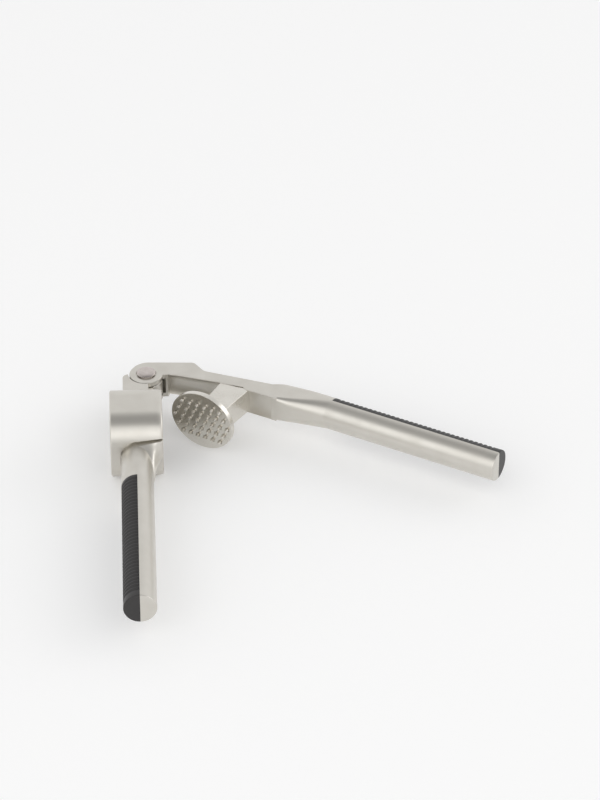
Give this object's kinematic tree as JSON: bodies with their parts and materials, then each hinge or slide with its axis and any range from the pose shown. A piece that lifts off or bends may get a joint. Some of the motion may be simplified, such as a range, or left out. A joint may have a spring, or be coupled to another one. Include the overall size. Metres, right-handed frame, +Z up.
{
  "type": "garlic press",
  "caption": "Hand garlic press: an oval chamber on one arm, a pinned plunger foot on the other, joined by a rivet; round handles with dark grips.",
  "frame": {"origin": "centre of the flat underside of the chamber, which the open press rests on", "axes": "+X along the chamber arm's handle, +Y out of the chamber's mouth, +Z up along the rivet"},
  "size_m": [0.1916, 0.1942, 0.0365],
  "materials": {
    "cast_metal": "die-cast zinc with a fine satin nickel finish",
    "sieve_steel": "pierced stainless sheet, satin",
    "rivet_steel": "turned stainless steel",
    "bush_metal": "plain turned bronze",
    "washer_plastic": "natural moulded nylon",
    "grip_rubber": "moulded thermoplastic rubber with fine cross ribs"
  },
  "bodies": {
    "chamber_side": {"chamber_arm": "cast_metal", "pivot_bush": "bush_metal", "sieve_plate": "sieve_steel", "chamber_grip": "grip_rubber"},
    "plunger_side": {"plunger_arm": "cast_metal", "plunger": "cast_metal", "plunger_dowel": "rivet_steel", "plunger_grip": "grip_rubber", "pivot_rivet": "rivet_steel", "rivet_collar": "rivet_steel", "upper_washer": "washer_plastic", "lower_washer": "washer_plastic"}
  },
  "joints": [
    {"name": "pivot", "type": "hinge", "parent": "chamber_side", "child": "plunger_side", "pos_m": [-0.0414, 0.0055, 0.01825], "axis": [0, 0, 1], "range_deg": [-56.6, 56]}
  ]
}
